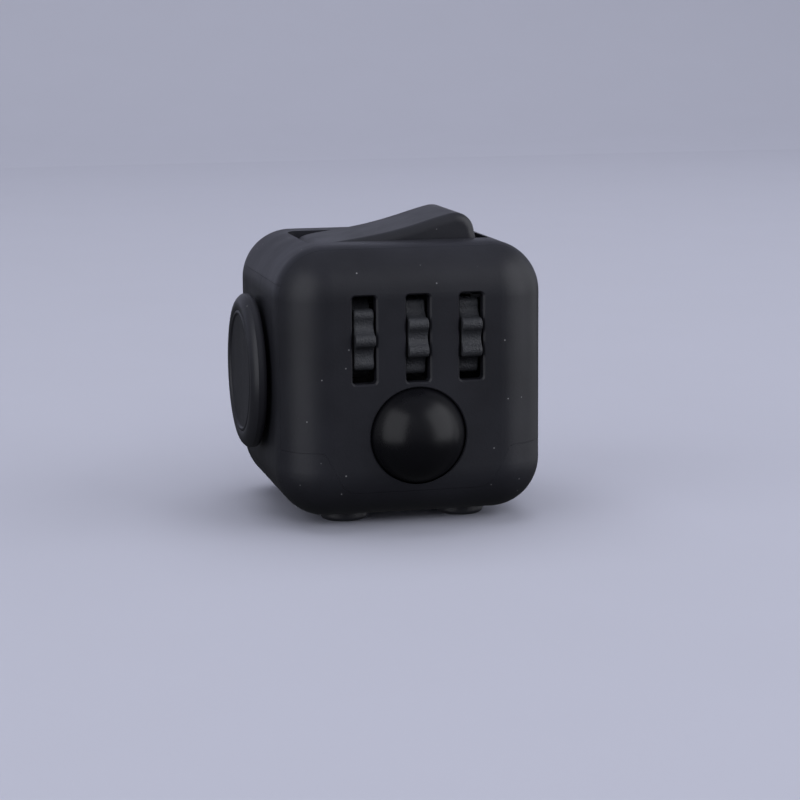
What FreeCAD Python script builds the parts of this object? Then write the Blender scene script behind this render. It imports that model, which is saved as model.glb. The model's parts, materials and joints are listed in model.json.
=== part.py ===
import FreeCAD, Part
import math
import os

V = FreeCAD.Vector
X = V(1, 0, 0)
Y = V(0, 1, 0)
Z = V(0, 0, 1)
AXES = {"X": X, "Y": Y, "Z": Z}

# A palm-sized fidget cube. Every sub-part is drawn about the centre of the cube body, with the
# roll face towards -Y, the flip switch on top, the glide disc on the left, the thumb dent on the
# right, the spin dial at the back and the five click buttons underneath. save() lifts the parts
# so that z = 0 is the plane of the button tips. Millimetres.

# Shell
HALF = 16.5                    # half of the 33 mm body
EDGE_R = 6.2                   # outside rounding of every edge and corner
WALL = 1.6
INNER = HALF - WALL
INNER_R = EDGE_R - WALL
SEAM = 0.015                   # half of the gap between neighbouring shells
CAP_Y = 12.4                   # seam plane of the front and back caps
CAP_Z = 12.05                  # seam plane of the top and bottom caps
LIP_Z = -7.85                  # top of the bottom cap's lip on the front face
TONGUE_Z = -13.0               # lowest edge of the front cap's tongue, under the ball
TONGUE_TOP = 11.5              # half-width of the tongue where it leaves the lip
TONGUE_FOOT = 8.8              # half-width of the tongue at its foot
SCREW_R = 0.6                  # thread radius of the self-tapping screws
HEAD_R = 1.15
HEAD_H = 0.7
PILOT_R = SCREW_R + 0.02
PASS_R = SCREW_R + 0.15

# Roll face: three lobed wheels on one axle, and a ball
WHEEL_PITCH = 6.58
WHEEL_Z = 5.61
WHEEL_Y = -12.6
WHEEL_TIP = 4.9
WHEEL_ROOT = 3.85
LOBE_R = 0.8
LOBES = 8
WHEEL_W = 2.45
WHEEL_PHASE = {"left": 0.0, "middle": 21.0, "right": 24.0}    # degrees from a lobe facing -Y
SLOT_W = 2.95
SLOT_H = 10.6
AXLE_R = 0.75
AXLE_HALF = 9.7
RIB_X = (-9.0, -3.29, 3.29, 9.0)
BALL_R = 6.2
BALL_Y = -14.0
BALL_Z = -6.2
BALL_GAP = 0.15
ROLL_POSTS = [(x, z) for x in (-11.4, 11.4) for z in (-6.4, 6.2)]
POST_R = 1.5
BRACKET_Y = (-9.3, -8.1)
BRACKET_TOP = 7.8
BRACKET_FOOT = -8.2
CARRIAGE_R = 5.45
CARRIAGE_Y = (-10.0, -6.9)
RACE_R = 4.95
RACE_Y = (-9.9, -8.7)
DOME_SEAT_Y = -5.9

# Flip switch: a rocker on two stub pins, tilted 12 degrees at rest
FLIP_TILT = 12.0
FLIP_Z = 12.5                  # height of the pin axis
ROCKER_Y = 6.9
ROCKER_END = 10.5
CREST_Z = 17.95
SADDLE_Z = 17.56
CREST_R = 2.4
ROCKER_ROUND = 1.1
ROCKER_FOOT = 14.0
OPENING_X = 11.4
OPENING_Y = 7.4
PIN_R = 0.8
BOSS_R = 2.1
FLIP_PLATE_Z = (8.0, 9.0)
FLIP_EAR_TOP = 9.5             # the plate's four ears are thicker, to sink the screw heads
FLIP_POSTS = [(x, y) for x in (-11.0, 11.0) for y in (-9.0, 9.0)]
FLIP_POST_R = 1.3

# Glide disc: a thin disc over the left face on a cross slide
DISC_R = 9.6
DISC_X = (-19.0, -17.05)
DISC_BACK_R = 0.6
PAD_R = 7.25
PAD_DISH = 0.22
HUB_R = 2.5
GLIDE = 1.5                    # travel each way
GLIDE_HOLE_R = 4.85
FLANGE_R = 5.6
FLANGE_X = (-14.6, -13.65)
SLIDER_X = (-13.55, -12.15)
SLIDER_Y = 7.1
SLIDER_Z = 4.2
SLIDER_SLOT_Y = 5.6
KEY_HALF = 2.45
TRAY_IN = 7.3
TRAY_FLOOR_X = (-12.0, -10.8)
GLIDE_POSTS = [(y, z) for y in (-5.2, 5.2) for z in (-10.0, 10.0)]
GLIDE_POST_R = 1.4

# Click face: five buttons on snap domes or soft pads
BUTTON_R = 2.9
BUTTON_HOLE_R = 3.0
BUTTON_PROUD = 1.2
BUTTON_PITCH = 7.4
BUTTONS = {
    "centre": (0.0, 0.0),
    "front_left": (-BUTTON_PITCH, -BUTTON_PITCH),
    "front_right": (BUTTON_PITCH, -BUTTON_PITCH),
    "back_left": (-BUTTON_PITCH, BUTTON_PITCH),
    "back_right": (BUTTON_PITCH, BUTTON_PITCH),
}
SILENT = ("front_left", "back_right")
BOARD_Z = (-12.9, -12.0)
DOME_H = 0.7
BOARD_SCREWS = [(-11.2, 0.0), (11.2, 0.0), (0.0, 10.9)]

# Spin dial on the back face
DIAL_R = 8.2
DIAL_Y = (16.1, 18.0)
POCKET_R = 8.6
POCKET_Y = 15.9
DIAL_HUB_R = 2.4
DIAL_HUB_END = 14.3
BUMP_R = 1.7
BUMP_Z = 5.1

# Thumb dent on the right face
DENT_HALF_Y = 8.8
DENT_HALF_Z = 7.2
DENT_DEPTH = 1.8
DENT_BACKING = 1.5

# Core frame that the six faces are fastened to
CORE_X = (-10.8, 12.0)
CORE_Y = (DOME_SEAT_Y, 12.0)
CORE_Z = (-11.9, 7.95)
CORE_WALL = 1.4
BACK_POSTS = [(x, z) for x in (-8.0, 8.0) for z in (-9.0, 4.8)]
PILLARS = [(-8.0, -1.6), (8.0, -1.6)]

LIFT = V(0, 0, HALF + BUTTON_PROUD)


def save(name, shape):
    solid = shape.copy()
    solid.translate(LIFT)
    solid.exportStep("parts/" + name + ".step")


def block(x, y, z):
    return Part.makeBox(x[1] - x[0], y[1] - y[0], z[1] - z[0], V(x[0], y[0], z[0]))


def rod(axis, radius, span, centre):
    """A cylinder along one axis; centre gives its other two coordinates in order."""
    place = list(centre)
    place.insert("XYZ".index(axis), span[0])
    return Part.makeCylinder(radius, span[1] - span[0], V(*place), AXES[axis])


def fuse(first, *others):
    return first.multiFuse(list(others)).removeSplitter()


def cut(shape, *tools):
    for tool in tools:
        shape = shape.cut(tool)
    return shape


def polygon(points, normal_span, plane):
    """A prism of a closed outline; plane is XZ, XY or YZ and normal_span lies across it."""
    spots = []
    for a, b in points:
        if plane == "XZ":
            spots.append(V(a, normal_span[0], b))
        elif plane == "XY":
            spots.append(V(a, b, normal_span[0]))
        else:
            spots.append(V(normal_span[0], a, b))
    across = {"XZ": Y, "XY": Z, "YZ": X}[plane] * (normal_span[1] - normal_span[0])
    return Part.Face(Part.makePolygon(spots + spots[:1])).extrude(across)


def soften(shape, radius, wanted, bevel=False):
    """Rounds or bevels every edge whose bounding box and length satisfy wanted()."""
    edges = [edge for edge in shape.Edges if wanted(edge.BoundBox)]
    if bevel:
        return shape.makeChamfer(radius, edges)
    return shape.makeFillet(radius, edges)


def rounded_cube(half, radius):
    cube = Part.makeBox(2 * half, 2 * half, 2 * half, V(-half, -half, -half))
    return cube.makeFillet(radius, cube.Edges)


def screw(axis, seat, tip, centre):
    """A pan-head screw: the head's underside is at seat and the thread runs to tip."""
    head_end = seat + math.copysign(HEAD_H, seat - tip)
    head = rod(axis, HEAD_R, sorted((seat, head_end)), centre)
    thread = rod(axis, SCREW_R, sorted((seat, tip)), centre)
    return fuse(head, thread)


def coil(axis, mean_r, wire_r, span, turns, centre):
    """A closed-section compression spring along one axis."""
    height = span[1] - span[0] - 2 * wire_r
    helix = Part.makeHelix(height / turns, height, mean_r)
    ring = Part.Wire(Part.makeCircle(wire_r, V(mean_r, 0, 0), Y))
    spring = Part.Wire(helix).makePipeShell([ring], True, True)
    spring.translate(V(0, 0, wire_r))
    if axis == "Y":
        spring.rotate(V(0, 0, 0), X, -90)
    place = list(centre)
    place.insert("XYZ".index(axis), span[0])
    spring.translate(V(*place))
    return spring


def shell():
    return rounded_cube(HALF, EDGE_R).cut(rounded_cube(INNER, INNER_R))


def lip_zone(shift):
    """Everything below the seam that crosses the front face, moved up by shift."""
    far = HALF + 2
    outline = [
        (-far, -far), (far, -far), (far, LIP_Z), (TONGUE_TOP, LIP_Z),
        (TONGUE_FOOT, TONGUE_Z), (-TONGUE_FOOT, TONGUE_Z), (-TONGUE_TOP, LIP_Z), (-far, LIP_Z),
    ]
    zone = polygon(outline, (-far, -CAP_Y - SEAM), "XZ")
    zone = soften(zone, 2.4, lambda b: b.YLength > 1 and abs(b.ZMax - TONGUE_Z) < 0.01)
    zone = soften(zone, 0.9, lambda b: b.YLength > 1 and abs(b.ZMax - LIP_Z) < 0.01
                  and abs(b.XMax) < HALF and b.XLength < 0.01)
    zone.translate(V(0, 0, shift))
    return zone


def wheel_slot(x):
    """A wheel's window through the front wall, with a small bevel round its mouth."""
    low = WHEEL_Z - SLOT_H / 2
    window = block((x - SLOT_W / 2, x + SLOT_W / 2), (-HALF - 1, -INNER + 1), (low, low + SLOT_H))
    window = soften(window, 0.45, lambda b: b.YLength > 1)
    bevel = 0.22
    mouth = block(
        (x - SLOT_W / 2 - bevel, x + SLOT_W / 2 + bevel),
        (-HALF - 1, -HALF + bevel),
        (low - bevel, low + SLOT_H + bevel),
    )
    mouth = soften(mouth, 0.45 + bevel, lambda b: b.YLength > 1)
    mouth = soften(mouth, bevel * 0.98, lambda b: b.YMin > -HALF, True)
    return fuse(window, mouth)


def ball_sphere(radius):
    return Part.makeSphere(radius, V(0, BALL_Y, BALL_Z))


def front_cap():
    cap = shell().common(block((-20, 20), (-20, -CAP_Y - SEAM), (-20, 20)))
    cap = cap.cut(lip_zone(SEAM))
    ribs = []
    for x in RIB_X:
        rib = block((x - 0.6, x + 0.6), (-INNER - 0.5, WHEEL_Y), (WHEEL_Z - 1.6, WHEEL_Z + 1.6))
        ribs.append(rib)
    posts = [rod("Y", POST_R, (-15.3, BRACKET_Y[0]), spot) for spot in ROLL_POSTS]
    cap = fuse(cap, *ribs, *posts)
    pilots = [rod("Y", PILOT_R, (-13.6, BRACKET_Y[0]), spot) for spot in ROLL_POSTS]
    axle_seat = rod("X", AXLE_R + 0.02, (-AXLE_HALF - 0.1, AXLE_HALF + 0.1), (WHEEL_Y, WHEEL_Z))
    slots = [wheel_slot(x) for x in (-WHEEL_PITCH, 0, WHEEL_PITCH)]
    cap = cut(cap, axle_seat, ball_sphere(BALL_R + BALL_GAP), *pilots, *slots)
    rim_r = math.sqrt((BALL_R + BALL_GAP) ** 2 - (HALF + BALL_Y) ** 2)
    bevel = Part.makeCone(rim_r + 0.2, rim_r - 0.05, 0.25, V(0, -HALF, BALL_Z), Y)
    return cap.cut(bevel)


def back_cap():
    cap = shell().common(block((-20, 20), (CAP_Y + SEAM, 20), (-20, 20)))
    posts = [rod("Y", POST_R, (CORE_Y[1], INNER + 0.5), spot) for spot in BACK_POSTS]
    cap = fuse(cap, *posts)
    pilots = [rod("Y", PILOT_R, (CORE_Y[1], 15.2), spot) for spot in BACK_POSTS]
    pocket = rod("Y", POCKET_R, (POCKET_Y, 20), (0, 0))
    bore = rod("Y", DIAL_HUB_R + 0.1, (13, 20), (0, 0))
    return cut(cap, pocket, bore, *pilots)


def top_cap():
    zone = block((-20, 20), (-CAP_Y + SEAM, CAP_Y - SEAM), (CAP_Z + SEAM, 20))
    cap = shell().common(zone)
    cheeks = []
    for low in (OPENING_Y, -OPENING_Y - 1.1):
        cheeks.append(block((-2.2, 2.2), (low, low + 1.1), (10.6, INNER + 0.4)))
    posts = [rod("Z", FLIP_POST_R, (FLIP_EAR_TOP, 15.2), spot) for spot in FLIP_POSTS]
    cap = fuse(cap, *cheeks, *posts)
    opening = block((-OPENING_X, OPENING_X), (-OPENING_Y, OPENING_Y), (INNER - 2, 20))
    opening = soften(opening, 1.2, lambda b: b.ZLength > 1)
    keep = block((-OPENING_X - 1, OPENING_X + 1), (-OPENING_Y - 1, OPENING_Y + 1), (10, CAP_Z + SEAM))
    pins = rod("Y", PIN_R + 0.02, (-9, 9), (0, FLIP_Z))
    pilots = [rod("Z", PILOT_R, (FLIP_EAR_TOP, 13.6), spot) for spot in FLIP_POSTS]
    return cut(cap, opening.cut(keep), pins, *pilots)


def bottom_cap():
    base = block((-20, 20), (-CAP_Y - SEAM, CAP_Y - SEAM), (-20, -CAP_Z - SEAM))
    cap = shell().common(base.fuse(lip_zone(-SEAM)))
    posts = [rod("Z", FLIP_POST_R, (-15.0, BOARD_Z[0]), spot) for spot in BOARD_SCREWS]
    cap = fuse(cap, *posts)
    holes = [rod("Z", BUTTON_HOLE_R, (-20, -14), spot) for spot in BUTTONS.values()]
    pilots = [rod("Z", PILOT_R, (-15.4, BOARD_Z[0]), spot) for spot in BOARD_SCREWS]
    return cut(cap, *holes, *pilots)


def side_zone(side):
    across = sorted((0, 20 * side))
    edge_y = CAP_Y - SEAM
    edge_z = CAP_Z - SEAM
    return block(across, (-edge_y, edge_y), (-edge_z, edge_z))


def left_panel():
    panel = shell().common(side_zone(-1))
    posts = [rod("X", GLIDE_POST_R, (-15.4, TRAY_FLOOR_X[0]), spot) for spot in GLIDE_POSTS]
    panel = fuse(panel, *posts)
    pilots = [rod("X", PILOT_R, (-15.0, TRAY_FLOOR_X[0]), spot) for spot in GLIDE_POSTS]
    return cut(panel, rod("X", GLIDE_HOLE_R, (-20, -10), (0, 0)), *pilots)


def dent_body(grow):
    """The barrel-shaped solid that the thumb dent is pressed from, larger by grow."""
    long_r = (DENT_HALF_Y ** 2 + DENT_DEPTH ** 2) / (2 * DENT_DEPTH)
    short_r = (DENT_HALF_Z ** 2 + DENT_DEPTH ** 2) / (2 * DENT_DEPTH)
    axis_x = HALF - DENT_DEPTH + long_r
    centre_x = axis_x - (long_r - short_r)
    profile_r = short_r + grow
    end_z = math.sqrt(profile_r ** 2 - (long_r - short_r) ** 2)
    top = V(axis_x, 0, end_z)
    deepest = V(centre_x - profile_r, 0, 0)
    bottom = V(axis_x, 0, -end_z)
    outline = Part.Wire([Part.Arc(top, deepest, bottom).toShape(), Part.makeLine(bottom, top)])
    return Part.Face(outline).revolve(V(axis_x, 0, 0), Z, 360)


def right_panel():
    panel = shell().common(side_zone(1))
    backing = dent_body(DENT_BACKING).common(block((10, HALF - 0.4), (-12, 12), (-11.5, 11.5)))
    tabs = []
    for low in (CORE_Z[0] + CORE_WALL + 0.05, CORE_Z[1] - CORE_WALL - 1.05):
        tabs.append(block((9.5, INNER + 0.4), (-2.5, 6.5), (low, low + 1.0)))
    return fuse(panel, backing, *tabs).cut(dent_body(0))


def lobed_outline(tip, root, lobe_r, count):
    """A ring of round lobes joined by tangent hollows, as a closed wire in the YZ plane."""
    half_step = math.pi / count
    lobe_at = tip - lobe_r
    # The hollow's radius h makes the two circles touch where lobe and hollow meet.
    spread = math.cos(half_step)
    known = lobe_at ** 2 + root ** 2 - 2 * lobe_at * root * spread - lobe_r ** 2
    hollow_r = known / (2 * lobe_r - 2 * root + 2 * lobe_at * spread)
    hollow_at = root + hollow_r
    edges = []
    for step in range(count):
        angle = 2 * half_step * step
        centre = V(0, lobe_at * math.cos(angle), lobe_at * math.sin(angle))
        joints = []
        for side in (-1, 1):
            turned = angle + side * half_step
            hollow = V(0, hollow_at * math.cos(turned), hollow_at * math.sin(turned))
            joints.append(centre + (hollow - centre) * (lobe_r / (lobe_r + hollow_r)))
        crest = V(0, tip * math.cos(angle), tip * math.sin(angle))
        edges.append(Part.Arc(joints[0], crest, joints[1]).toShape())
        valley_angle = angle + half_step
        valley = V(0, root * math.cos(valley_angle), root * math.sin(valley_angle))
        following = V(joints[0])
        turn = FreeCAD.Rotation(X, math.degrees(2 * half_step))
        edges.append(Part.Arc(joints[1], valley, turn.multVec(following)).toShape())
    return Part.Wire(edges)


def wheel(x, phase):
    profile = Part.Face(lobed_outline(WHEEL_TIP, WHEEL_ROOT, LOBE_R, LOBES))
    body = profile.extrude(X * WHEEL_W)
    body = soften(body, 0.22, lambda b: b.XLength < 0.001)
    body = body.cut(rod("X", AXLE_R + 0.05, (-1, WHEEL_W + 1), (0, 0)))
    for face_x in (0, WHEEL_W):
        groove = rod("X", 2.3, (face_x - 0.2, face_x + 0.2), (0, 0))
        body = body.cut(groove.cut(rod("X", 1.4, (-1, WHEEL_W + 1), (0, 0))))
    body.rotate(V(0, 0, 0), X, 180 + phase)
    body.translate(V(x - WHEEL_W / 2, WHEEL_Y, WHEEL_Z))
    return body


def wheel_axle():
    pin = rod("X", AXLE_R, (-AXLE_HALF, AXLE_HALF), (WHEEL_Y, WHEEL_Z))
    return soften(pin, 0.15, lambda b: b.XLength < 0.001, True)


def roll_bracket():
    """Plate behind the roll face: notched for the wheels, its fingers trap the axle and its
    collar guides the ball carriage."""
    plate = block((-13.0, 13.0), BRACKET_Y, (BRACKET_FOOT, BRACKET_TOP))
    plate = soften(plate, 2.0, lambda b: b.YLength > 1 and b.XLength < 0.01 and b.ZLength < 0.01)
    fingers = []
    for x in RIB_X:
        reach = (WHEEL_Y + 0.03, BRACKET_Y[0] + 0.2)
        fingers.append(block((x - 0.5, x + 0.5), reach, (WHEEL_Z - 1.2, WHEEL_Z + 1.2)))
    collar = rod("Y", CARRIAGE_R + 0.95, (-9.9, -7.0), (0, BALL_Z))
    body = fuse(plate, collar, *fingers)
    bore = rod("Y", CARRIAGE_R + 0.1, (-12, -6), (0, BALL_Z))
    under = block((-20, 20), (-20, 0), (-20, BOARD_Z[1] + 0.3))
    saddle = rod("X", AXLE_R + 0.02, (-12, 12), (WHEEL_Y, WHEEL_Z))
    sinks = [rod("Y", HEAD_R + 0.1, (BRACKET_Y[1] - HEAD_H, -7), spot) for spot in ROLL_POSTS]
    holes = [rod("Y", PASS_R, (-10, -7), spot) for spot in ROLL_POSTS]
    threads = [rod("Y", PILOT_R, (-10, -7), spot) for spot in PILLARS]
    notches = []
    for x in (-WHEEL_PITCH, 0, WHEEL_PITCH):
        span_x = (x - WHEEL_W / 2 - 0.3, x + WHEEL_W / 2 + 0.3)
        notches.append(block(span_x, (-10.5, -7), (WHEEL_Z - WHEEL_TIP - 0.2, 12)))
    return cut(body, bore, under, saddle, *notches, *sinks, *holes, *threads)


def roll_screws():
    seat = BRACKET_Y[1] - HEAD_H
    return Part.makeCompound([screw("Y", seat, -13.4, spot) for spot in ROLL_POSTS])


def ball_race():
    """Loose acetal ring that the ball rolls on."""
    ring = rod("Y", RACE_R, RACE_Y, (0, BALL_Z))
    return ring.cut(ball_sphere(BALL_R + 0.06))


def ball_carriage():
    cup = rod("Y", CARRIAGE_R, CARRIAGE_Y, (0, BALL_Z))
    pocket = rod("Y", RACE_R + 0.08, (-11, RACE_Y[1] + 0.02), (0, BALL_Z))
    return cut(cup, pocket, ball_sphere(BALL_R + 0.3))


def snap_dome(radius, height, thickness=0.15):
    """A dished disc standing on z = 0 with its crown at z = height."""
    sphere_r = (radius ** 2 + height ** 2) / (2 * height)
    centre = V(0, 0, height - sphere_r)
    outer = Part.makeSphere(sphere_r, centre)
    inner = Part.makeSphere(sphere_r - thickness, centre)
    return outer.cut(inner).common(rod("Z", radius, (0, height), (0, 0)))


def ball_dome():
    dome = snap_dome(3.0, DOME_SEAT_Y - CARRIAGE_Y[1])
    dome.rotate(V(0, 0, 0), X, 90)
    dome.translate(V(0, DOME_SEAT_Y, BALL_Z))
    return dome


def rocker_outline():
    """The switch's side profile, level: two rounded crests with a shallow saddle between."""
    shoulder = CREST_Z - CREST_R
    flat = ROCKER_END - CREST_R
    bend = math.radians(45)
    corner = V(flat + CREST_R * math.cos(bend), 0, shoulder + CREST_R * math.sin(bend))
    right_foot = V(ROCKER_END, 0, ROCKER_FOOT)
    right_side = V(ROCKER_END, 0, shoulder)
    right_top = V(flat, 0, CREST_Z)
    mid_x = flat / 2
    mid_z = SADDLE_Z + 0.16
    left = [V(-p.x, 0, p.z) for p in (right_foot, right_side, corner, right_top)]
    saddle = Part.BSplineCurve()
    saddle.interpolate(
        Points=[right_top, V(mid_x, 0, mid_z), V(0, 0, SADDLE_Z), V(-mid_x, 0, mid_z), left[3]],
        InitialTangent=V(-1, 0, 0),
        FinalTangent=V(-1, 0, 0),
    )
    return Part.Wire([
        Part.makeLine(left[0], right_foot),
        Part.makeLine(right_foot, right_side),
        Part.Arc(right_side, corner, right_top).toShape(),
        saddle.toShape(),
        Part.Arc(left[3], left[2], left[1]).toShape(),
        Part.makeLine(left[1], left[0]),
    ])


def tilt(shape):
    """Turns a part of the switch to its rest position, right side up."""
    shape.rotate(V(0, 0, FLIP_Z), Y, -FLIP_TILT)
    return shape


def flip_rocker():
    body = Part.Face(rocker_outline()).extrude(Y * 2 * ROCKER_Y)
    body.translate(V(0, -ROCKER_Y, 0))
    body = soften(body, ROCKER_ROUND, lambda b: b.YLength < 0.001 and b.ZMax > ROCKER_FOOT + 0.1)
    hollow = block((-9.2, 9.2), (-ROCKER_Y + 1.3, ROCKER_Y - 1.3), (10, 15.9))
    body = body.cut(hollow)
    inside = (-ROCKER_Y + 1.0, ROCKER_Y - 1.0)
    web = block((-1.9, 1.9), inside, (FLIP_Z, 16.3))
    cheeks = block((-3.5, 3.5), (-ROCKER_Y, ROCKER_Y), (FLIP_Z, ROCKER_FOOT + 1.0))
    cheeks = cheeks.cut(block((-4, 4), (-ROCKER_Y + 1.3, ROCKER_Y - 1.3), (10, 16)))
    boss = rod("Y", BOSS_R, (-ROCKER_Y, ROCKER_Y), (0, FLIP_Z))
    body = fuse(body, web, cheeks, boss)
    pins = [rod("Y", PIN_R + 0.05, span, (0, FLIP_Z)) for span in ((-9, -3.0), (3.0, 9))]
    socket = rod("Z", 1.2, (9, 15.4), (0, 0))
    return tilt(cut(body, socket, *pins))


def rocker_pins():
    spans = ((-8.3, -3.1), (3.1, 8.3))
    return Part.makeCompound([rod("Y", PIN_R, span, (0, FLIP_Z)) for span in spans])


def detent_plunger():
    """Round-nosed plunger in the rocker's socket; its nose rides over the ridge."""
    stem = rod("Z", 1.12, (10.3, 12.9), (0, 0))
    nose = Part.makeSphere(0.8, V(0, 0, 10.0)).fuse(rod("Z", 0.8, (10.0, 10.4), (0, 0)))
    return tilt(fuse(stem, nose))


def detent_spring():
    return tilt(coil("Z", 0.75, 0.16, (12.9, 15.4), 4, (0, 0)))


def flip_bracket():
    """Plate under the switch with the ridge that the plunger clicks over."""
    plate = block((-9.9, 10.3), (-7.9, 7.9), FLIP_PLATE_Z)
    ears = []
    for x, y in FLIP_POSTS:
        side_x = math.copysign(1, x)
        side_y = math.copysign(1, y)
        span_x = sorted((8.0 * side_x, 12.4 * side_x))
        span_y = sorted((7.2 * side_y, 10.4 * side_y))
        ears.append(block(span_x, span_y, (FLIP_PLATE_Z[0], FLIP_EAR_TOP)))
    body = fuse(plate, *ears)
    valleys = [rod("Y", 1.1, (-1.6, 1.6), (x, FLIP_PLATE_Z[1] + 0.9)) for x in (-0.85, 0.85)]
    sinks = [rod("Z", HEAD_R + 0.1, (7, FLIP_PLATE_Z[0] + HEAD_H), spot) for spot in FLIP_POSTS]
    holes = [rod("Z", PASS_R, (7, 10), spot) for spot in FLIP_POSTS]
    threads = [rod("Z", PILOT_R, (7, 10), spot) for spot in ((-6.0, 4.0), (6.0, 4.0))]
    return cut(body, *valleys, *sinks, *holes, *threads)


def flip_screws():
    seat = FLIP_PLATE_Z[0] + HEAD_H
    return Part.makeCompound([screw("Z", seat, 13.4, spot) for spot in FLIP_POSTS])


def thumb_cap():
    """The glide disc: a dished pad with a fine raised edge inside a rounded rim."""
    outer, back = DISC_X
    crest = outer + 0.1
    wall = outer + 0.85
    dish_r = PAD_R - 0.25
    dish_x = outer + 0.2
    dish = Part.Arc(
        V(dish_x + PAD_DISH, 0, 0),
        V(dish_x + PAD_DISH * 0.75, dish_r / 2, 0),
        V(dish_x, dish_r, 0),
    )
    rim = Part.Arc(
        V(crest, PAD_R + 0.3, 0),
        V(crest + 0.12, DISC_R - 0.6, 0),
        V(wall, DISC_R, 0),
    )
    bend = DISC_BACK_R * math.cos(math.radians(45))
    heel = Part.Arc(
        V(back - DISC_BACK_R, DISC_R, 0),
        V(back - DISC_BACK_R + bend, DISC_R - DISC_BACK_R + bend, 0),
        V(back, DISC_R - DISC_BACK_R, 0),
    )
    ring = [(dish_x, dish_r), (outer, PAD_R - 0.05), (outer + 0.02, PAD_R + 0.12), (crest, PAD_R + 0.3)]
    side = [(wall, DISC_R), (back - DISC_BACK_R, DISC_R)]
    closing = [(back, DISC_R - DISC_BACK_R), (back, 0), (dish_x + PAD_DISH, 0)]
    edges = [dish.toShape(), rim.toShape(), heel.toShape()]
    for points in (ring, side, closing):
        edges += Part.makePolygon([V(x, r, 0) for x, r in points]).Edges
    face = Part.Face(Part.Wire(Part.sortEdges(edges)[0]))
    disc = face.revolve(V(0, 0, 0), X, 360)
    hub = rod("X", HUB_R, (back - 0.3, FLANGE_X[0]), (0, 0))
    body = fuse(disc, hub)
    return body.cut(rod("X", PILOT_R, (-17.6, -14), (0, 0)))


def glide_stem():
    """Flange and square key that slide with the disc under the left face."""
    flange = rod("X", FLANGE_R, FLANGE_X, (0, 0))
    key = block((FLANGE_X[1], -12.05), (-KEY_HALF, KEY_HALF), (-KEY_HALF, KEY_HALF))
    return fuse(flange, key).cut(rod("X", PASS_R, (-15, -11), (0, 0)))


def thumb_screw():
    return screw("X", -12.05, -17.4, (0, 0))


def glide_slider():
    plate = block(SLIDER_X, (-SLIDER_Y, SLIDER_Y), (-SLIDER_Z, SLIDER_Z))
    slot = block((-15, -11), (-SLIDER_SLOT_Y, SLIDER_SLOT_Y), (-KEY_HALF - 0.08, KEY_HALF + 0.08))
    return plate.cut(slot)


def glide_tray():
    """Tray behind the left face that carries the cross slide."""
    floor_in, floor_out = TRAY_FLOOR_X
    body = block((-INNER, floor_out), (-8.0, 8.0), (-7.9, 7.9))
    pocket = block((-20, floor_in), (-7.25, 7.25), (-TRAY_IN, TRAY_IN))
    lugs = []
    for y, z in GLIDE_POSTS:
        side = math.copysign(1, z)
        tall = sorted((7.5 * side, 11.4 * side))
        lugs.append(block(TRAY_FLOOR_X, (y - 1.4, y + 1.4), tall))
    window = rod("X", 3.7, (-13, -9), (0, 0))
    holes = [rod("X", PASS_R, (-13, -9), spot) for spot in GLIDE_POSTS]
    threads = [rod("X", PILOT_R, (-13, -9), spot) for spot in ((-5.0, -4.5), (-5.0, 4.5))]
    return cut(fuse(body.cut(pocket), *lugs), window, *holes, *threads)


def glide_screws():
    return Part.makeCompound([screw("X", TRAY_FLOOR_X[1], -14.8, spot) for spot in GLIDE_POSTS])


def glide_springs_z(side):
    span = sorted((SLIDER_Z * side, TRAY_IN * side))
    x = sum(SLIDER_X) / 2
    return Part.makeCompound([coil("Z", 0.5, 0.12, span, 5, (x, y)) for y in (-4.5, 4.5)])


def glide_spring_y(side):
    span = sorted((KEY_HALF * side, SLIDER_SLOT_Y * side))
    return coil("Y", 0.5, 0.12, span, 5, (sum(SLIDER_X) / 2, 0))


def button(spot):
    x, y = spot
    tip = -HALF - BUTTON_PROUD
    stem = rod("Z", BUTTON_R, (tip, -14.4), (x, y))
    stem = soften(stem, 0.5, lambda b: b.ZMax < tip + 0.01)
    flange = rod("Z", 3.5, (-14.6, -13.9), (x, y))
    nub = rod("Z", 1.0, (-14.0, BOARD_Z[0] - DOME_H), (x, y))
    return fuse(stem, flange, nub)


def click_dome(spot):
    dome = snap_dome(2.4, DOME_H)
    dome.rotate(V(0, 0, 0), X, 180)
    dome.translate(V(spot[0], spot[1], BOARD_Z[0]))
    return dome


def silent_pad(spot):
    return rod("Z", 1.6, (BOARD_Z[0] - DOME_H, BOARD_Z[0]), spot)


def click_board():
    board = block((-12.4, 12.4), (-10.3, 12.4), BOARD_Z)
    board = soften(board, 3.0, lambda b: b.ZLength > 0.5)
    holes = [rod("Z", PASS_R, (-14, -11), spot) for spot in BOARD_SCREWS]
    threads = [rod("Z", PILOT_R, (-14, -11), spot) for spot in ((-4.0, 4.0), (4.0, 4.0))]
    return cut(board, *holes, *threads)


def board_screws():
    return Part.makeCompound([screw("Z", BOARD_Z[1], -15.2, spot) for spot in BOARD_SCREWS])


def spin_dial():
    """Dished dial with a round finger bump near its edge, on a hub through the back face."""
    disc = rod("Y", DIAL_R, DIAL_Y, (0, 0))
    disc = soften(disc, 0.5, lambda b: b.YLength < 0.001 and b.YMin > DIAL_Y[0] + 0.1)
    dish = Part.makeSphere(40, V(0, DIAL_Y[1] + 39.5, 0))
    bump = rod("Y", BUMP_R, (DIAL_Y[0] + 0.5, DIAL_Y[1] + 0.7), (0, BUMP_Z))
    bump = soften(bump, 0.6, lambda b: b.YMin > DIAL_Y[1])
    hub = rod("Y", DIAL_HUB_R, (DIAL_HUB_END, DIAL_Y[0] + 0.2), (0, 0))
    body = fuse(disc.cut(dish), bump, hub)
    return body.cut(rod("Y", PILOT_R, (14, 17), (0, 0)))


def dial_washer():
    disc = rod("Y", 4.0, (DIAL_HUB_END - 0.6, DIAL_HUB_END), (0, 0))
    return disc.cut(rod("Y", PASS_R, (13, 15), (0, 0)))


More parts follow.
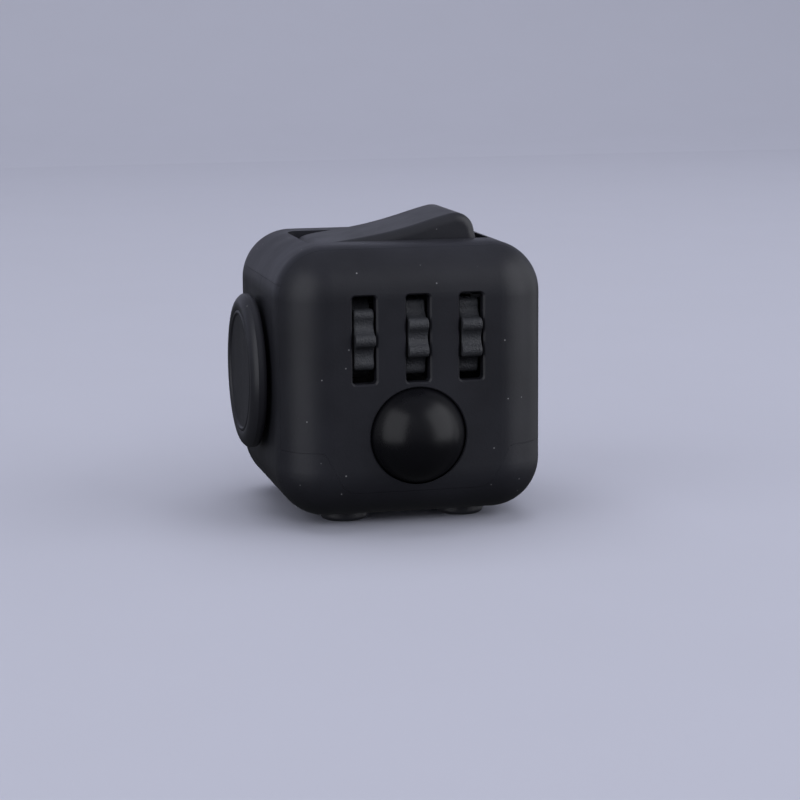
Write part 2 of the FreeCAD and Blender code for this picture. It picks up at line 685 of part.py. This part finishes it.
def dial_screw():
    return screw("Y", DIAL_HUB_END - 0.6, 16.8, (0, 0))


def friction_ring():
    """Felt ring between the back face and the dial's washer."""
    ring = rod("Y", 4.0, (DIAL_HUB_END + 0.05, INNER), (0, 0))
    return ring.cut(rod("Y", DIAL_HUB_R + 0.2, (14, 15), (0, 0)))


def core_frame():
    """Open-sided box that every face is fastened to."""
    outer = block(CORE_X, CORE_Y, CORE_Z)
    inner = block(
        (CORE_X[0] + CORE_WALL, CORE_X[1] + 1),
        (CORE_Y[0] + CORE_WALL, CORE_Y[1] - CORE_WALL),
        (CORE_Z[0] + CORE_WALL, CORE_Z[1] - CORE_WALL),
    )
    pillars = [rod("Y", POST_R, (BRACKET_Y[1], CORE_Y[0] + 0.2), spot) for spot in PILLARS]
    body = fuse(outer.cut(inner), *pillars)
    windows = [
        block((-6, 7), (6, 20), (-6, 2)),
        block((-20, -5), (0, 6), (-3, 3)),
        block((-5, 6), (7, 10.5), (-20, -5)),
    ]
    heads = [rod("Z", HEAD_R + 0.3, (-13, -10), spot) for spot in BOARD_SCREWS]
    heads += [rod("X", HEAD_R + 0.3, (-12, -9.9), (y, z)) for y, z in GLIDE_POSTS if z < 0]
    holes = [rod("Y", PASS_R, (-9, 0), spot) for spot in PILLARS]
    holes += [rod("Y", PASS_R, (9, 13), spot) for spot in BACK_POSTS]
    holes += [rod("Z", PASS_R, (6, 9), spot) for spot in ((-6.0, 4.0), (6.0, 4.0))]
    holes += [rod("Z", PASS_R, (-13, -9), spot) for spot in ((-4.0, 4.0), (4.0, 4.0))]
    holes += [rod("X", PASS_R, (-12, -8), spot) for spot in ((-5.0, -4.5), (-5.0, 4.5))]
    return cut(body, *windows, *heads, *holes)


def core_screws():
    front = CORE_Y[0] + CORE_WALL
    back = CORE_Y[1] - CORE_WALL
    screws = [screw("Y", front, BRACKET_Y[0] + 0.1, spot) for spot in PILLARS]
    screws += [screw("Y", back, 15.0, spot) for spot in BACK_POSTS]
    screws += [screw("Z", CORE_Z[1] - CORE_WALL, 8.9, spot) for spot in ((-6.0, 4.0), (6.0, 4.0))]
    screws += [screw("Z", CORE_Z[0] + CORE_WALL, -12.8, spot) for spot in ((-4.0, 4.0), (4.0, 4.0))]
    return Part.makeCompound(screws)


def main():
    os.makedirs("parts", exist_ok=True)
    save("front_cap", front_cap())
    save("back_cap", back_cap())
    save("top_cap", top_cap())
    save("bottom_cap", bottom_cap())
    save("left_panel", left_panel())
    save("right_panel", right_panel())
    save("core_frame", core_frame())
    save("core_screws", core_screws())

    for side, x in (("left", -WHEEL_PITCH), ("middle", 0), ("right", WHEEL_PITCH)):
        save("roll_wheel_" + side, wheel(x, WHEEL_PHASE[side]))
    save("wheel_axle", wheel_axle())
    save("roll_bracket", roll_bracket())
    save("roll_screws", roll_screws())
    save("ball", ball_sphere(BALL_R))
    save("ball_race", ball_race())
    save("ball_carriage", ball_carriage())
    save("ball_dome", ball_dome())

    save("flip_rocker", flip_rocker())
    save("rocker_pins", rocker_pins())
    save("detent_plunger", detent_plunger())
    save("detent_spring", detent_spring())
    save("flip_bracket", flip_bracket())
    save("flip_screws", flip_screws())

    save("thumb_cap", thumb_cap())
    save("glide_stem", glide_stem())
    save("thumb_screw", thumb_screw())
    save("glide_slider", glide_slider())
    save("glide_tray", glide_tray())
    save("glide_screws", glide_screws())
    save("glide_springs_upper", glide_springs_z(1))
    save("glide_springs_lower", glide_springs_z(-1))
    save("glide_spring_front", glide_spring_y(-1))
    save("glide_spring_back", glide_spring_y(1))

    for name, spot in BUTTONS.items():
        save("button_" + name, button(spot))
        if name in SILENT:
            save("silent_pad_" + name, silent_pad(spot))
        else:
            save("click_dome_" + name, click_dome(spot))
    save("click_board", click_board())
    save("board_screws", board_screws())

    save("spin_dial", spin_dial())
    save("dial_washer", dial_washer())
    save("dial_screw", dial_screw())
    save("friction_ring", friction_ring())


main()
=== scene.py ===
import json
import math

import bpy
from mathutils import Matrix, Vector


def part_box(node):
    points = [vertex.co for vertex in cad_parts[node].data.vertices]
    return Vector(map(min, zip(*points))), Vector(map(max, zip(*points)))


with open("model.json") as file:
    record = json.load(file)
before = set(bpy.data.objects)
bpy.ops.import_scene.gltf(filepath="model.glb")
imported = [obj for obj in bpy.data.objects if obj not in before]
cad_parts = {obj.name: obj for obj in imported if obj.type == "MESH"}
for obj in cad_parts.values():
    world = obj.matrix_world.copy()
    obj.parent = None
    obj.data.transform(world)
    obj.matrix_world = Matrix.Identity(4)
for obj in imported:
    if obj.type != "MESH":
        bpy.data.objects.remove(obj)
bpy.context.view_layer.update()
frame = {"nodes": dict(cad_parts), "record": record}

NODES = frame["nodes"]
MM = 0.001

# The point at the centre of the cube's body, halfway up its left panel.
BODY_Z = sum(corner.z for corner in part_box("left_panel")) / 2
BODY_CENTRE = Vector((0, 0, BODY_Z))

# Camera: how far from the body's centre it stands, where it turns, and what it frames.
CAMERA_DISTANCE = 0.3023
CAMERA_AZIMUTH = math.radians(-13.077)
CAMERA_ELEVATION = math.radians(8.958)
CAMERA_ROLL = math.radians(-0.422)
CAMERA_LENS = 107.68
CAMERA_SHIFT = (0.0158, -0.0446)
CAMERA_SENSOR = 36

# A noise's middle values, which are spread over the range wanted. All noise scales are per metre.
NOISE_LOW = 0.3
NOISE_HIGH = 0.7

# Moulded plastic: a cloudy tone, a smeared gloss, a fine grain, and dust in a share of the cells.
CLOUD_SCALE = 90
CLOUD_LIGHT = 1.25
CLOUD_DARK = 0.8
SMEAR_SCALE = 160
SMEAR_STRETCH = (1, 1, 0.35)
SMEAR_SWING = 0.05
GRAIN_SCALE = 2600
DUST_SCALE = 600
DUST_SIZE = 0.07
DUST_CORE = 0.4
DUST_EDGE = 0.001
DUST_COLOUR = (0.35, 0.35, 0.37)

# Steel: drawn lines along X, how far they move the roughness down and up, and dark spots.
LINE_SCALE = 900
LINE_STRETCH = (0.15, 1, 1)
LINE_DEPTH_MM = 0.006
LINE_SMOOTHER = 0.06
LINE_ROUGHER = 0.08
SPOT_SCALE = 220
SPOT_LOW = 0.35
SPOT_DARK = 0.75

# Felt: fibres, how dark the painted shade in the gaps between them is, and how deep the gaps are.
FIBRE_SCALE = 3200
FIBRE_GAP_SHADE = 0.5
FIBRE_DEPTH_MM = 0.06
FELT_ROUGHNESS = 0.95
FELT_SHEEN = 0.3

# Studio: the floor runs from its front edge to the bend, where the backdrop sweeps up.
PAPER_TONES = ((0.60, 0.61, 0.71), (0.615, 0.625, 0.73))
PAPER_MOTTLE_SCALE = 40
PAPER_ROUGHNESS = 0.9
PAPER_WIDTH = 3.0
PAPER_FRONT = -1.2
PAPER_BEND_Y = 0.6
PAPER_BEND_R = 0.5
PAPER_TOP = 1.8
PAPER_STEPS = 12

# Each lamp: azimuth and elevation in degrees, distance, width, height, power, and if gloss sees it.
LAMP_COLOUR = (0.94, 0.95, 1.0)
LAMPS = {
    "softbox_left": (-60, 19, 0.9, 0.92, 1.15, 3.3, True),
    "softbox_right": (59, 21, 0.9, 0.92, 1.15, 4.1, True),
    "softbox_side": (108, 12, 0.9, 0.6, 0.9, 0.9, True),
    "softbox_top": (180, 75, 1.1, 1.2, 0.9, 5.6, False),
    "softbox_front": (0, 30, 1.2, 0.6, 0.4, 2.2, False),
}
WORLD_COLOUR = (0.75, 0.78, 0.88, 1)
WORLD_BELOW = 0.05
WORLD_ABOVE = 0.185
WORLD_BLEND = (-0.3, 0.15)


def turned(azimuth, elevation):
    """Unit vector towards a direction: azimuth 0 is -Y, where the roll face looks, and +X is 90."""
    return Vector((
        math.sin(azimuth) * math.cos(elevation),
        -math.cos(azimuth) * math.cos(elevation),
        math.sin(elevation),
    ))


# ---------------------------------------------------------------- materials

class Nodes:
    """A small helper that builds one material's node tree."""

    def __init__(self, name):
        self.material = bpy.data.materials.new(name)
        self.material.use_nodes = True
        self.tree = self.material.node_tree
        self.shader = self.tree.nodes["Principled BSDF"]
        self.place = self.add("ShaderNodeTexCoord").outputs["Object"]

    def add(self, kind, **settings):
        node = self.tree.nodes.new(kind)
        for key, value in settings.items():
            setattr(node, key, value)
        return node

    def link(self, source, target):
        self.tree.links.new(source, target)

    def noise(self, scale, detail, roughness=0.5, stretch=None):
        node = self.add("ShaderNodeTexNoise")
        node.inputs["Scale"].default_value = scale
        node.inputs["Detail"].default_value = detail
        node.inputs["Roughness"].default_value = roughness
        source = self.place
        if stretch:
            mapping = self.add("ShaderNodeMapping")
            mapping.inputs["Scale"].default_value = stretch
            self.link(source, mapping.inputs["Vector"])
            source = mapping.outputs["Vector"]
        self.link(source, node.inputs["Vector"])
        return node.outputs["Fac"]

    def band(self, source, low, high, to_low, to_high):
        """Maps low..high of source onto to_low..to_high and holds it there."""
        node = self.add("ShaderNodeMapRange")
        ends = (low, high, to_low, to_high)
        for key, value in zip(("From Min", "From Max", "To Min", "To Max"), ends):
            node.inputs[key].default_value = value
        self.link(source, node.inputs["Value"])
        return node.outputs["Result"]

    def product(self, a, b):
        node = self.add("ShaderNodeMath", operation="MULTIPLY")
        self.link(a, node.inputs[0])
        self.link(b, node.inputs[1])
        return node.outputs["Value"]

    def mix(self, share, first, second):
        node = self.add("ShaderNodeMix", data_type="RGBA")
        self.link(share, node.inputs["Factor"])
        for value, socket in ((first, node.inputs["A"]), (second, node.inputs["B"])):
            if hasattr(value, "is_linked"):
                self.link(value, socket)
            else:
                socket.default_value = (*value, 1.0)
        return node.outputs["Result"]

    def swing(self, source, low, high):
        """Spreads the middle of a noise over low..high."""
        return self.band(source, NOISE_LOW, NOISE_HIGH, low, high)

    def bump(self, height, depth):
        node = self.add("ShaderNodeBump")
        node.inputs["Strength"].default_value = 1.0
        node.inputs["Distance"].default_value = depth
        self.link(height, node.inputs["Height"])
        return node.outputs["Normal"]

    def specks(self, share):
        """1 inside round specks of dust in a share of the cells, 0 elsewhere."""
        cells = self.add("ShaderNodeTexVoronoi")
        cells.inputs["Scale"].default_value = DUST_SCALE
        self.link(self.place, cells.inputs["Vector"])
        split = self.add("ShaderNodeSeparateColor")
        self.link(cells.outputs["Color"], split.inputs["Color"])
        chosen = self.band(split.outputs["Red"], 1 - share, 1 - share + DUST_EDGE, 0, 1)
        disc = self.band(cells.outputs["Distance"], DUST_SIZE, DUST_SIZE * DUST_CORE, 0, 1)
        return self.product(chosen, disc)


def moulded(name, colour, roughness, grain, grain_scale=GRAIN_SCALE, dust=0.0, specular=0.5):
    """Moulded plastic: grain is its depth in mm, and dust the share of cells that hold a speck."""
    n = Nodes(name)
    shader = n.shader
    light = tuple(c * CLOUD_LIGHT for c in colour)
    dark = tuple(c * CLOUD_DARK for c in colour)
    tone = n.mix(n.swing(n.noise(CLOUD_SCALE, 3, 0.6), 0, 1), dark, light)
    smear = n.noise(SMEAR_SCALE, 4, 0.65, SMEAR_STRETCH)
    gloss = n.swing(smear, roughness - SMEAR_SWING, roughness + SMEAR_SWING)
    normal = n.bump(n.noise(grain_scale, 2, 0.6), grain * MM)
    if dust:
        tone = n.mix(n.specks(dust), tone, DUST_COLOUR)
    n.link(tone, shader.inputs["Base Color"])
    n.link(gloss, shader.inputs["Roughness"])
    n.link(normal, shader.inputs["Normal"])
    shader.inputs["Specular IOR Level"].default_value = specular
    return n.material


def metal(name, colour, roughness):
    """Drawn or plated steel with faint lines and spotting."""
    n = Nodes(name)
    shader = n.shader
    lines = n.noise(LINE_SCALE, 3, 0.6, LINE_STRETCH)
    spots = n.band(n.noise(SPOT_SCALE, 3, 0.6), SPOT_LOW, NOISE_HIGH, 0, 1)
    dark = tuple(c * SPOT_DARK for c in colour)
    n.link(n.mix(spots, dark, colour), shader.inputs["Base Color"])
    gloss = n.swing(lines, roughness - LINE_SMOOTHER, roughness + LINE_ROUGHER)
    n.link(gloss, shader.inputs["Roughness"])
    n.link(n.bump(lines, LINE_DEPTH_MM * MM), shader.inputs["Normal"])
    shader.inputs["Metallic"].default_value = 1.0
    return n.material


def felt(name, colour):
    """Matted fibres, with painted shade darkening the gaps between them."""
    n = Nodes(name)
    fibres = n.noise(FIBRE_SCALE, 4, 0.7)
    # Painted shade: the colour darkens where the fibre height is low, so the gaps between fibres
    # look shaded.
    dark = tuple(c * FIBRE_GAP_SHADE for c in colour)
    n.link(n.mix(n.swing(fibres, 0, 1), dark, colour), n.shader.inputs["Base Color"])
    n.link(n.bump(fibres, FIBRE_DEPTH_MM * MM), n.shader.inputs["Normal"])
    n.shader.inputs["Roughness"].default_value = FELT_ROUGHNESS
    n.shader.inputs["Sheen Weight"].default_value = FELT_SHEEN
    return n.material


SLOTS = {
    "shell_plastic": moulded(
        "shell_plastic", (0.021, 0.0215, 0.028), 0.45, grain=0.012, dust=0.7,
    ),
    "control_plastic": moulded(
        "control_plastic", (0.027, 0.0275, 0.034), 0.42, grain=0.015, dust=0.3,
    ),
    "wheel_plastic": moulded(
        "wheel_plastic", (0.050, 0.052, 0.059), 0.38, grain=0.14, grain_scale=4200,
    ),
    "ball_plastic": moulded(
        "ball_plastic", (0.0065, 0.0065, 0.0085), 0.28, grain=0.002, specular=0.36,
    ),
    "frame_plastic": moulded("frame_plastic", (0.03, 0.03, 0.033), 0.55, grain=0.02),
    "bearing_plastic": moulded("bearing_plastic", (0.62, 0.61, 0.57), 0.38, grain=0.008),
    "rubber": moulded("rubber", (0.06, 0.06, 0.065), 0.8, grain=0.02),
    "felt": felt("felt", (0.08, 0.08, 0.085)),
    "steel": metal("steel", (0.58, 0.58, 0.60), 0.28),
    "screw_steel": metal("screw_steel", (0.20, 0.20, 0.21), 0.38),
    "spring_steel": metal("spring_steel", (0.62, 0.61, 0.60), 0.22),
}


def finish_nodes():
    """Gives every CAD node the material of its record slot."""
    for row in frame["record"]["subparts"]:
        node = NODES[row["node"]]
        node.data.materials.clear()
        node.data.materials.append(SLOTS[row["material_slot"]])


# ---------------------------------------------------------------- the studio

def sheet(name, profile, material):
    """A smooth sheet swept along X from a profile of (y, z) points, kept out of the object."""
    vertices = [(side * PAPER_WIDTH / 2, y, z) for y, z in profile for side in (-1, 1)]
    faces = [(2 * i, 2 * i + 1, 2 * i + 3, 2 * i + 2) for i in range(len(profile) - 1)]
    mesh = bpy.data.meshes.new(name)
    mesh.from_pydata(vertices, [], faces)
    for face in mesh.polygons:
        face.use_smooth = True
    mesh.materials.append(material)
    made = bpy.data.objects.new(name, mesh)
    bpy.context.scene.collection.objects.link(made)
    return made


def studio_floor():
    """A pale floor, and a backdrop that it sweeps up into far behind the object."""
    paper = Nodes("floor_paper")
    mottle = paper.noise(PAPER_MOTTLE_SCALE, 3)
    paper.link(paper.mix(mottle, *PAPER_TONES), paper.shader.inputs["Base Color"])
    paper.shader.inputs["Roughness"].default_value = PAPER_ROUGHNESS
    floor = sheet("studio_floor", [(PAPER_FRONT, 0.0), (PAPER_BEND_Y, 0.0)], paper.material)
    profile = []
    for step in range(PAPER_STEPS + 1):
        angle = math.pi / 2 * step / PAPER_STEPS
        along = PAPER_BEND_Y + PAPER_BEND_R * math.sin(angle)
        profile.append((along, PAPER_BEND_R - PAPER_BEND_R * math.cos(angle)))
    profile.append((PAPER_BEND_Y + PAPER_BEND_R, PAPER_TOP))
    sheet("studio_backdrop", profile, paper.material)
    # The floor is hidden from reflections and bounced light, since the photo has a dark card there.
    floor.visible_glossy = False
    floor.visible_diffuse = False


def softbox(name, azimuth, elevation, distance, width, height, power, in_gloss):
    """A rectangular lamp that faces the body's centre, and is or isn't seen in reflections."""
    light = bpy.data.lights.new(name, "AREA")
    light.shape = "RECTANGLE"
    light.size = width
    light.size_y = height
    light.energy = power
    light.color = LAMP_COLOUR
    lamp = bpy.data.objects.new(name, light)
    away = turned(math.radians(azimuth), math.radians(elevation))
    lamp.location = BODY_CENTRE + away * distance
    lamp.rotation_euler = away.to_track_quat("Z", "Y").to_euler()
    lamp.visible_glossy = in_gloss
    bpy.context.scene.collection.objects.link(lamp)


def studio_world():
    """A plain grey-blue surround, darker under the horizon, as over a dark card."""
    world = bpy.data.worlds.new("studio")
    world.use_nodes = True
    tree = world.node_tree
    ground = tree.nodes["Background"]
    ground.inputs["Color"].default_value = WORLD_COLOUR
    place = tree.nodes.new("ShaderNodeTexCoord")
    split = tree.nodes.new("ShaderNodeSeparateXYZ")
    level = tree.nodes.new("ShaderNodeMapRange")
    ends = (*WORLD_BLEND, WORLD_BELOW, WORLD_ABOVE)
    for key, value in zip(("From Min", "From Max", "To Min", "To Max"), ends):
        level.inputs[key].default_value = value
    tree.links.new(place.outputs["Generated"], split.inputs["Vector"])
    tree.links.new(split.outputs["Z"], level.inputs["Value"])
    tree.links.new(level.outputs["Result"], ground.inputs["Strength"])
    bpy.context.scene.world = world


def studio_camera():
    """The photographing camera: turned, rolled and shifted as the constants say."""
    away = turned(CAMERA_AZIMUTH, CAMERA_ELEVATION)
    right = (-away).cross(Vector((0, 0, 1))).normalized()
    upward = right.cross(-away)
    rolled_right = right * math.cos(CAMERA_ROLL) + upward * math.sin(CAMERA_ROLL)
    rolled_up = upward * math.cos(CAMERA_ROLL) - right * math.sin(CAMERA_ROLL)
    data = bpy.data.cameras.new("camera")
    data.lens = CAMERA_LENS
    data.sensor_width = CAMERA_SENSOR
    data.shift_x, data.shift_y = CAMERA_SHIFT
    camera = bpy.data.objects.new("camera", data)
    turn = Matrix((rolled_right, rolled_up, away)).transposed().to_4x4()
    camera.matrix_world = Matrix.Translation(BODY_CENTRE + away * CAMERA_DISTANCE) @ turn
    bpy.context.scene.collection.objects.link(camera)
    bpy.context.scene.camera = camera
    bpy.context.scene.view_settings.view_transform = "Standard"


def main():
    finish_nodes()
    studio_floor()
    for name, settings in LAMPS.items():
        softbox(name, *settings)
    studio_world()
    studio_camera()


main()
